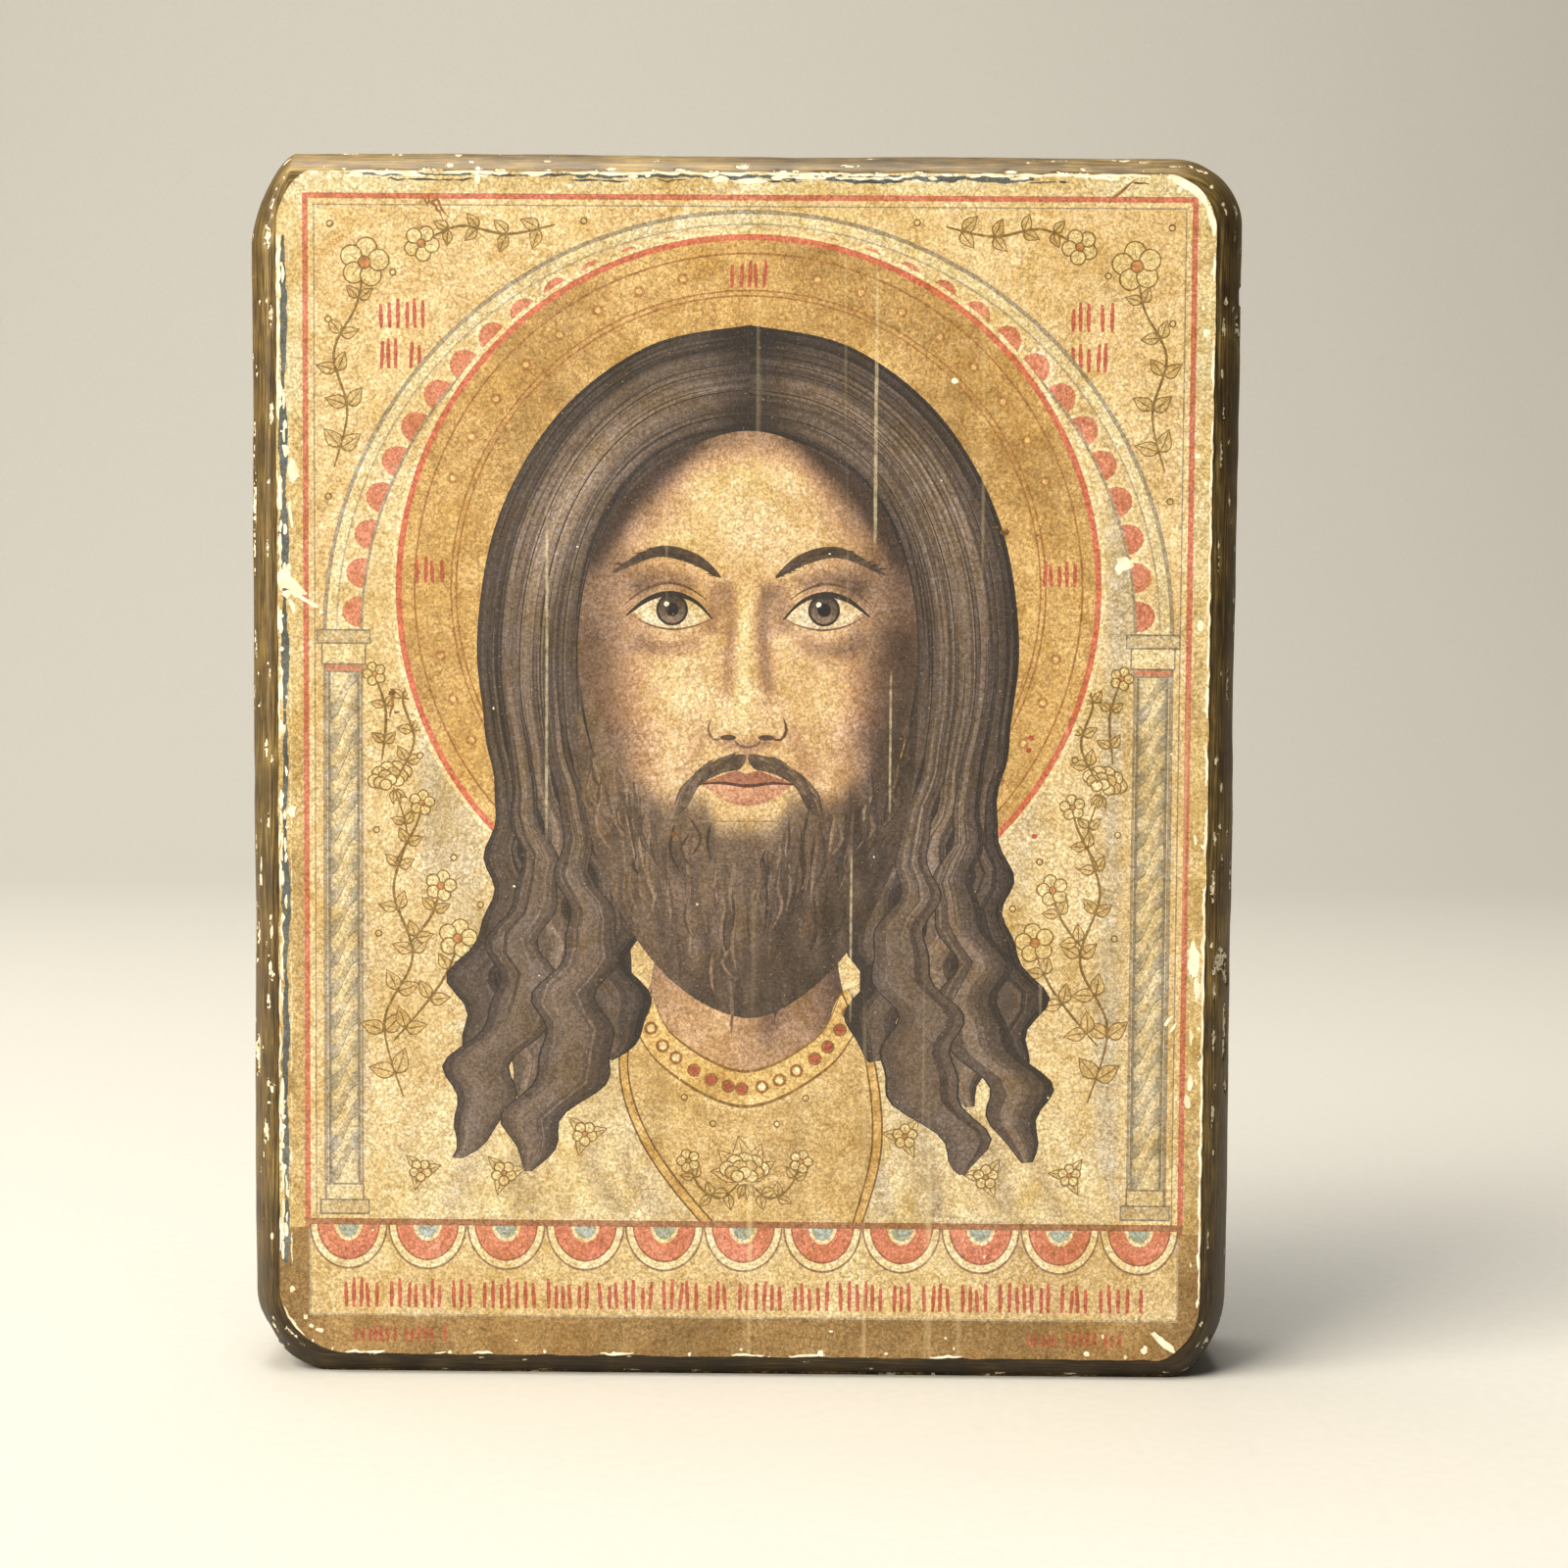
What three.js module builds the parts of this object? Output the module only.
// An icon panel: a small thick wooden block with hand-rounded corners and a rounded-over front
// edge, and a thin printed sheet with nipped-off corners glued on its flat face.
//
// Millimetres, +Z up. The picture faces -Y and the width runs along X. The origin is in the
// middle of the panel's lowest level, halfway through its thickness.
import * as THREE from 'three';

// Driving dimensions
const WIDTH = 105;
const HEIGHT = 130;
const THICKNESS = 18; // the sheet included
const SHEET_THICKNESS = 0.3; // paper, glue and varnish
const SHEET_WIDTH = 98.4;
const SHEET_HEIGHT = 125.4;
const SHEET_FOOT = 2.2; // the sheet's lower edge above the block's foot

// The front edge is sanded to a quarter round, a little deeper than it is wide,
// and the back edge is only eased
const FRONT_ROUND = { inset: 2.7, depth: 3.1, steps: 6 };
const BACK_EASE = { inset: 0.9, depth: 0.9, steps: 3 };

// Each corner was rounded by hand, so no two are alike: how far it reaches along the width and
// the height, and how full it is (2 is an ellipse, less is closer to a straight cut).
// They follow the outline anticlockwise as seen from the front.
const BLOCK_CORNERS = [
  { right: true, top: false, along: 6.6, up: 9.0, fullness: 2.0 },
  { right: true, top: true, along: 7.5, up: 7.2, fullness: 2.0 },
  { right: false, top: true, along: 4.8, up: 9.6, fullness: 1.5 },
  { right: false, top: false, along: 7.2, up: 9.0, fullness: 1.9 },
];
const SHEET_CORNERS = [
  { right: true, top: false, along: 4.6, up: 6.2, fullness: 1.8 },
  { right: true, top: true, along: 5.0, up: 5.4, fullness: 1.8 },
  { right: false, top: true, along: 3.6, up: 5.2, fullness: 1.5 },
  { right: false, top: false, along: 5.0, up: 6.2, fullness: 1.9 },
];
const CORNER_STEPS = 12;

const FRONT = -THICKNESS / 2;
const BACK = THICKNESS / 2;
const FACE = FRONT + SHEET_THICKNESS; // the block's flat front face

// The outline of a rectangle with four corners of their own, drawn in by an inset all round.
// Points are [across, up] from the rectangle's middle.
function outline(width, height, corners, inset = 0) {
  const points = [];
  for (const corner of corners) {
    const sideX = corner.right ? 1 : -1;
    const sideZ = corner.top ? 1 : -1;
    const centreX = width / 2 - corner.along;
    const centreZ = height / 2 - corner.up;
    const startsAtSide = corner.right === corner.top;
    for (let step = 0; step <= CORNER_STEPS; step += 1) {
      const share = step / CORNER_STEPS;
      const turn = ((startsAtSide ? share : 1 - share) * Math.PI) / 2;
      const bulge = 2 / corner.fullness;
      const x = centreX + (corner.along - inset) * Math.cos(turn) ** bulge;
      const z = centreZ + (corner.up - inset) * Math.sin(turn) ** bulge;
      points.push([sideX * x, sideZ * z]);
    }
  }
  return points;
}

// A closed body through rings of the same outline, from front to back, with flat ends.
// Each ring is { y, points }.
function loft(rings) {
  const count = rings[0].points.length;
  const positions = [];
  for (const ring of rings) {
    for (const [x, z] of ring.points) {
      positions.push(x, ring.y, z);
    }
  }
  const triangles = [];
  for (let r = 0; r + 1 < rings.length; r += 1) {
    for (let i = 0; i < count; i += 1) {
      const here = r * count + i;
      const next = r * count + ((i + 1) % count);
      triangles.push(here, here + count, next);
      triangles.push(next, here + count, next + count);
    }
  }
  const ends = [
    { ring: rings[0], first: 0, facesFront: true },
    { ring: rings[rings.length - 1], first: (rings.length - 1) * count, facesFront: false },
  ];
  for (const end of ends) {
    const contour = end.ring.points.map(([x, z]) => new THREE.Vector2(x, z));
    for (const [a, b, c] of THREE.ShapeUtils.triangulateShape(contour, [])) {
      const corners = end.facesFront ? [a, b, c] : [a, c, b];
      triangles.push(...corners.map((corner) => end.first + corner));
    }
  }
  const geometry = new THREE.BufferGeometry();
  geometry.setAttribute('position', new THREE.Float32BufferAttribute(positions, 3));
  geometry.setIndex(triangles);
  geometry.computeVertexNormals();
  return geometry;
}

// Rings that round an edge over from the flat face (inset all the way) to the full outline
function roundedEdge(edge, flatY, inward) {
  const rings = [];
  for (let step = 0; step <= edge.steps; step += 1) {
    const turn = (step / edge.steps) * (Math.PI / 2);
    const inset = edge.inset * (1 - Math.sin(turn));
    const y = flatY + inward * edge.depth * (1 - Math.cos(turn));
    rings.push({ y, points: outline(WIDTH, HEIGHT, BLOCK_CORNERS, inset) });
  }
  return rings;
}

// The wooden block, painted bronze brown round its edges
function makeBoard() {
  const front = roundedEdge(FRONT_ROUND, FACE, 1);
  const back = roundedEdge(BACK_EASE, BACK, -1).reverse();
  const paintedWood = new THREE.MeshStandardMaterial({
    name: 'bronze-brown painted wood',
    color: '#4a3a24',
    roughness: 0.35,
    metalness: 0.2,
  });
  const board = new THREE.Mesh(loft([...front, ...back]), paintedWood);
  board.name = 'board';
  board.position.z = HEIGHT / 2;
  return board;
}

// The printed and varnished sheet, lying flat on the block's face
function makePrint() {
  const points = outline(SHEET_WIDTH, SHEET_HEIGHT, SHEET_CORNERS);
  const varnishedPaper = new THREE.MeshStandardMaterial({
    name: 'varnished printed paper',
    color: '#cfa96a',
    roughness: 0.45,
    metalness: 0,
  });
  const print = new THREE.Mesh(loft([{ y: FRONT, points }, { y: FACE, points }]), varnishedPaper);
  print.name = 'print';
  print.position.z = SHEET_FOOT + SHEET_HEIGHT / 2;
  return print;
}

const group = new THREE.Group();
group.name = 'icon-panel';
group.add(makeBoard(), makePrint());

export default group;
